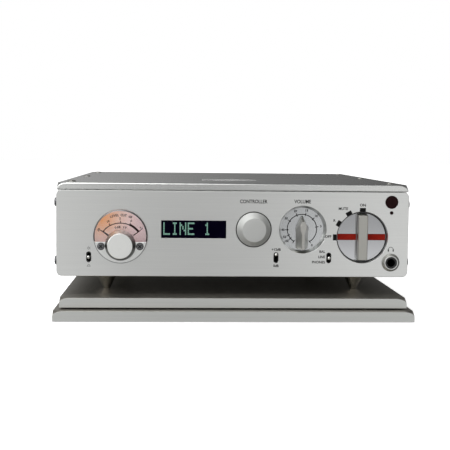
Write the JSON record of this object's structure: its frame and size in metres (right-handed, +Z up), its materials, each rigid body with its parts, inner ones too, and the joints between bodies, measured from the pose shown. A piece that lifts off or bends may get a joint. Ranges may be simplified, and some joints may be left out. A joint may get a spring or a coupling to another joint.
{
  "type": "stereo preamplifier",
  "caption": "Low stereo preamplifier with level meter, display, turning controls and small levers on a brushed front, standing on cone feet on a two-tier isolation base.",
  "frame": {"origin": "middle of the base's footprint, on the surface that its pads stand on", "axes": "+Z up, the front panel faces -Y, +X to the right as seen from the front"},
  "size_m": [0.2816, 0.3768, 0.1057],
  "materials": {
    "panel_aluminium": "fine horizontal brush, clear anodised",
    "lid_aluminium": "bead blasted, clear anodised",
    "base_aluminium": "bead blasted, clear anodised",
    "turned_aluminium": "turned and satin anodised",
    "foot_metal": "polished",
    "screw_steel": "bright zinc",
    "dark_screw": "black oxide",
    "shaft_steel": "ground",
    "sleeve_brass": "turned",
    "elastomer": "matt",
    "black_plastic": "moulded",
    "dark_window": "polished smoked acrylic",
    "lens": "clear moulded",
    "dial_card": "printed and lit from the edge",
    "needle_paint": "matt black",
    "stripe_red": "satin paint fill",
    "meter_can": "grey",
    "circuit_board": "solder mask",
    "contact_gold": "gold plated",
    "white_plastic": "moulded",
    "winding": "taped copper winding",
    "sleeve_blue": "shrunk sleeve",
    "valve_glass": "clear blown",
    "led_lens": "tinted"
  },
  "bodies": {
    "case": {"lower_plate": "base_aluminium", "upper_plate": "base_aluminium", "isolation_pucks": "elastomer", "base_pads": "elastomer", "cone_feet": "foot_metal", "bottom_plate": "lid_aluminium", "left_side": "lid_aluminium", "right_side": "lid_aluminium", "front_panel": "panel_aluminium", "rear_panel": "lid_aluminium", "lid": "lid_aluminium", "lid_screws": "screw_steel", "side_screws": "dark_screw", "rear_screws": "dark_screw", "meter_housing": "meter_can", "meter_dial": "dial_card", "meter_movement": "meter_can", "meter_lens": "lens", "meter_mask": "turned_aluminium", "meter_boss": "turned_aluminium", "meter_screws": "screw_steel", "display_window": "dark_window", "display_module": "black_plastic", "control_board": "circuit_board", "encoder_body": "meter_can", "volume_dial": "turned_aluminium", "volume_pot": "meter_can", "rotary_switch": "meter_can", "slot_liners": "black_plastic", "toggle_bodies": "black_plastic", "remote_window": "dark_window", "status_led": "led_lens", "headphone_jack": "black_plastic", "jack_nut": "turned_aluminium", "phono_sockets": "contact_gold", "phono_cores": "white_plastic", "balanced_inputs": "black_plastic", "balanced_outputs": "black_plastic", "mains_inlet": "black_plastic", "inlet_pins": "screw_steel", "ground_post": "contact_gold", "main_board": "circuit_board", "board_standoffs": "screw_steel", "transformer": "winding", "capacitors": "sleeve_blue", "valve_bracket": "lid_aluminium", "valves": "valve_glass"},
    "sleeve": {"controller_sleeve": "sleeve_brass"},
    "controller": {"controller_knob": "turned_aluminium", "controller_shaft": "shaft_steel"},
    "volume": {"volume_knob": "turned_aluminium", "volume_shaft": "shaft_steel"},
    "selector": {"selector_knob": "turned_aluminium", "selector_stripe": "stripe_red", "selector_shaft": "shaft_steel"},
    "lamp_switch": {"lamp_lever": "screw_steel"},
    "gain_switch": {"gain_lever": "screw_steel"},
    "output_switch": {"output_lever": "screw_steel"},
    "front_pointer": {"front_needle": "needle_paint"},
    "rear_pointer": {"rear_needle": "needle_paint"}
  },
  "joints": [
    {"name": "controller_push", "type": "slide", "parent": "case", "child": "sleeve", "axis": [0, 1, 0], "range_m": [0, 0.0008], "stiffness_N_per_m": 2500, "springref_m": -0.0004},
    {"name": "controller_turn", "type": "hinge", "parent": "sleeve", "child": "controller", "pos_m": [0.01565, -0.161, 0.0691], "axis": [0, 1, 0], "continuous": true},
    {"name": "volume_turn", "type": "hinge", "parent": "case", "child": "volume", "pos_m": [0.0545, -0.161, 0.0692], "axis": [0, 1, 0], "range_deg": [-147, 147]},
    {"name": "selector_turn", "type": "hinge", "parent": "case", "child": "selector", "pos_m": [0.1018, -0.161, 0.0633], "axis": [0, -1, 0], "range_deg": [0, 90]},
    {"name": "lamp_tilt", "type": "hinge", "parent": "case", "child": "lamp_switch", "pos_m": [-0.1133, -0.1525, 0.0469], "axis": [1, 0, 0], "range_deg": [-15, 15]},
    {"name": "gain_tilt", "type": "hinge", "parent": "case", "child": "gain_switch", "pos_m": [0.03355, -0.1525, 0.0469], "axis": [1, 0, 0], "range_deg": [0, 30]},
    {"name": "output_tilt", "type": "hinge", "parent": "case", "child": "output_switch", "pos_m": [0.0754, -0.1525, 0.0469], "axis": [1, 0, 0], "range_deg": [-15, 15]},
    {"name": "front_needle_swing", "type": "hinge", "parent": "case", "child": "front_pointer", "pos_m": [-0.08855, -0.161, 0.0563], "axis": [0, 1, 0], "range_deg": [0, 106], "stiffness_Nm_per_rad": 0.0002, "springref_deg": -11.46},
    {"name": "rear_needle_swing", "type": "hinge", "parent": "case", "child": "rear_pointer", "pos_m": [-0.08855, -0.161, 0.0563], "axis": [0, 1, 0], "range_deg": [0, 106], "stiffness_Nm_per_rad": 0.0002, "springref_deg": -11.46}
  ]
}
